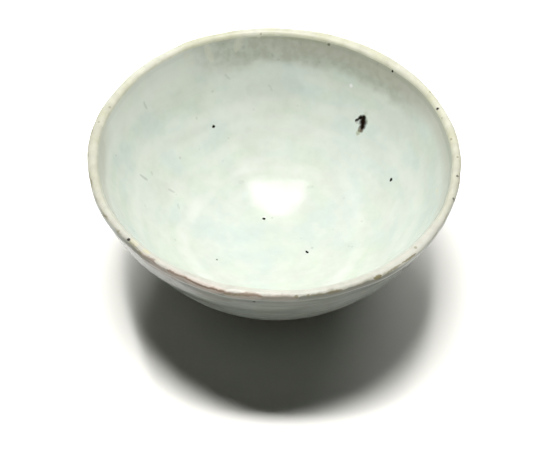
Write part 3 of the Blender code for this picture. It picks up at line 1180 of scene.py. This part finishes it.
def body_clay(piece, bowl):
    """The clay of the wall: satin ivory at the lip and whiter at its front, partly as painted
    light; bare and toasted near the foot.
    """
    finish = Finish(piece, "ivory_clay", bowl)
    patchy = finish.patches(size=0.012, low=0.35, high=0.68, detail=4)
    lip = finish.blend(patchy, IVORY, PALE_IVORY)
    grain = finish.patches(size=0.0012)
    bare = finish.blend(grain, BUFF, SANDY_BUFF)
    height = finish.axis("Z")
    finish.colour = finish.blend(finish.spread(height, *CLAY_BAND), bare, lip)
    # Whiter lip at the front: whiter clay and painted light
    finish.lay(finish.side(FRONT, low=0.6, high=0.95, to_high=0.75), WHITE_LIT_LIP)
    finish.shade(finish.side(DULL_SIDE, low=0.75, high=1.0, to_low=1.0, to_high=0.86))
    finish.shade(finish.side(CREAM_SIDE, low=0.90, high=0.99, to_low=1.0, to_high=0.88))
    finish.shade(finish.patches(size=0.0035, low=0.30, high=0.62, to_low=0.90, detail=4))
    finish.lay(finish.strewn(spacing=0.0090, radius=0.0006, share=0.35), OLIVE_BROWN)
    glazed_outer_edge(finish)
    finish.draw(BARE_PATCHES, WHITE_LIT_LIP, BARE_EDGE)
    lip_marks(finish)
    finish.draw(IRON_SPECKS, IRON)
    finish.bump(finish.cloud(size=0.0030), depth=0.00006)
    finish.bump(finish.cloud(size=0.0008), depth=0.00001)
    finish.close(finish.spread(height, *CLAY_BAND, *CLAY_ROUGHNESS))


def foot_clay(piece):
    """Bare fired clay: buff, dry and slightly sandy, toasted in places."""
    finish = Finish(piece, "buff_clay")
    grain = finish.patches(size=0.0012, detail=4)
    finish.colour = finish.blend(grain, BUFF, SANDY_BUFF)
    finish.lay(finish.patches(size=0.014, low=0.5, high=0.75), TOASTED)
    finish.lay(finish.strewn(spacing=0.0060, radius=0.0006, share=0.30), IRON)
    finish.bump(finish.cloud(size=0.0007, detail=4), depth=0.00004)
    smoothest, roughest = FOOT_ROUGHNESS
    finish.close(finish.patches(size=0.002, to_low=smoothest, to_high=roughest))


# The studio


# Blender's camera is measured in millimetres
MILLIMETRES = 1000

# The key light and the paper's lamps hang at one height
LAMP_HEIGHT = 1.05

# The key light's strips: how far to the side, where the first one starts, depth and widths
KEY_SIDE = -0.03
KEY_FRONT = 0.0
KEY_STRIP = 0.095
KEY_WIDTHS = (0.56, 0.53, 0.45, 0.31, 0.14)
KEY_POWER = 3.6

# The scrims: how far behind the bowl's middle, height, width, depth and power
SCRIM_SIDE = -0.06
SCRIMS = {
    "scrim_overhead": (0.30, 1.20, 5.0, 5.0, 67.0),
    "scrim_behind": (0.48, 1.05, 0.5, 0.3, 6.2),
    "scrim_far": (1.05, 0.75, 0.6, 0.3, 1.0),
}

# The paper's lamps: how far to the side and behind, width, depth, turn and share of the power
PAPER_POWER = 15.3
PAPER_LAMPS = (
    (-0.046, 0.058, 0.51, 0.11, -0.09, 1.07),
    (-0.32, 0.39, 0.06, 0.77, 0.29, 0.79),
    (0.58, 0.84, 1.60, 0.13, 0.41, 0.94),
    (0.21, 0.31, 0.48, 0.09, 1.39, 0.30),
)

# The paper: its width, how brightly it lights the bowl, how brightly it shows, and its tint
FLOOR_SIZE = 0.9
FLOOR_SEGMENTS = 96
FLOOR_TONE = 0.184
FLOOR_SHOWN = 0.72
WARM_WHITE = (1.0, 0.99, 0.94)

# How brightly the studio all around lights the bowl
SKY_LIGHT = 0.005


def make_camera():
    """The camera: above the front of the bowl, aimed at a point of its axis."""
    data = bpy.data.cameras.new("camera")
    data.sensor_width = SENSOR * MILLIMETRES
    data.lens = LENS * MILLIMETRES
    camera = put("camera", data)
    rim_middle = Vector((0, 0, BOWL_HEIGHT))
    back = Vector((0, -math.cos(VIEW_ELEVATION), math.sin(VIEW_ELEVATION)))
    camera.location = rim_middle + back * VIEW_DISTANCE
    camera.rotation_euler = (AIM - camera.location).to_track_quat("-Z", "Y").to_euler()
    bpy.context.scene.camera = camera


def make_softbox(name, place, width, depth, power):
    """A rectangular soft light at a place, which shines straight down."""
    data = bpy.data.lights.new(name, "AREA")
    data.shape = "RECTANGLE"
    data.size = width
    data.size_y = depth
    data.energy = power
    softbox = put(name, data)
    softbox.location = place
    softbox.visible_camera = False
    return softbox


def make_key_light():
    """A fan of lamps side by side, which makes only the glint in the bottom of the bowl."""
    strips = []
    for k, width in enumerate(KEY_WIDTHS):
        place = (KEY_SIDE, KEY_FRONT + KEY_STRIP * (k + 0.5), LAMP_HEIGHT)
        power = KEY_POWER * width / sum(KEY_WIDTHS)
        strips.append(make_softbox(f"key_strip_{k + 1}", place, width, KEY_STRIP, power))
        strips[-1].visible_diffuse = False
    return strips


def make_scrims():
    """The even light of big scrims over the bowl and behind it, which leave no glint."""
    scrims = []
    for name, (behind, height, width, depth, power) in SCRIMS.items():
        place = (SCRIM_SIDE, behind, height)
        scrims.append(make_softbox(name, place, width, depth, power))
        scrims[-1].visible_glossy = False
    return scrims


def make_paper_lamps():
    """The lamps over the white paper, in whose light the bowl casts its shadow."""
    lamps = []
    for k, (side, behind, width, depth, turn, share) in enumerate(PAPER_LAMPS):
        place = (side, behind, LAMP_HEIGHT)
        power = PAPER_POWER * share
        lamps.append(make_softbox(f"paper_lamp_{k + 1}", place, width, depth, power))
        lamps[-1].rotation_euler = (0, 0, turn)
    return lamps


def light_only(lamps, *things):
    """Keeps the light of some lamps to some things, which others still shade."""
    receivers = bpy.data.collections.new(things[0].name + "_alone")
    for thing in things:
        receivers.objects.link(thing)
    for lamp in lamps:
        lamp.light_linking.receiver_collection = receivers


def two_tones(nodes, lit, shown):
    """One tone for light on its way to the bowl, and one for what the camera looks at.

    A reflection and a clear glass show what the camera would see.
    """
    rays = nodes.node("LightPath").outputs
    seen = nodes.math("MAXIMUM", rays["Is Camera Ray"], rays["Is Glossy Ray"])
    seen = nodes.math("MAXIMUM", seen, rays["Is Transmission Ray"])
    return nodes.spread(seen, 0.0, 1.0, lit, shown)


def make_floor():
    """The white studio floor, which looks brighter than it lights the bowl."""
    bm = bmesh.new()
    radius = FLOOR_SIZE / 2
    bmesh.ops.create_circle(bm, cap_ends=True, segments=FLOOR_SEGMENTS, radius=radius)
    mesh = bpy.data.meshes.new("studio_floor")
    bm.to_mesh(mesh)
    bm.free()
    floor = put("studio_floor", mesh)
    material = bpy.data.materials.new("studio_paper")
    material.use_nodes = True
    shader = Nodes(material)
    shader.nodes.remove(shader.nodes["Principled BSDF"])
    tone = two_tones(shader, FLOOR_TONE, FLOOR_SHOWN)
    paper = shader.node("BsdfDiffuse", Color=shader.vector("MULTIPLY", WARM_WHITE, tone))
    shader.feed(shader.nodes["Material Output"].inputs["Surface"], paper.outputs["BSDF"])
    mesh.materials.append(material)
    return floor


def make_sky():
    """A dim studio around a white backdrop."""
    world = bpy.data.worlds.new("studio")
    bpy.context.scene.world = world
    world.use_nodes = True
    shader = Nodes(world)
    backdrop = shader.nodes["Background"].inputs
    shader.feed(backdrop["Color"], (1, 1, 1, 1))
    shader.feed(backdrop["Strength"], two_tones(shader, SKY_LIGHT, 1.0))


def main():
    """Makes the bowl, piece by piece, then its finishes and the studio."""
    bpy.context.scene.view_settings.view_transform = "Standard"
    make_camera()
    wall = make_thrown_wall()
    inner_coat = make_inner_coat()
    outer_coat = make_outer_coat()
    foot = make_turned_foot()
    base_coat = make_base_coat()
    bpy.context.view_layer.update()
    bowl = (wall, inner_coat, outer_coat)
    body_clay(wall, bowl)
    inner_celadon(inner_coat, bowl)
    outer_celadon(outer_coat, bowl)
    foot_clay(foot)
    base_celadon(base_coat)
    light_only(make_key_light() + make_scrims(), *bowl, foot, base_coat)
    light_only(make_paper_lamps(), make_floor())
    make_sky()


main()
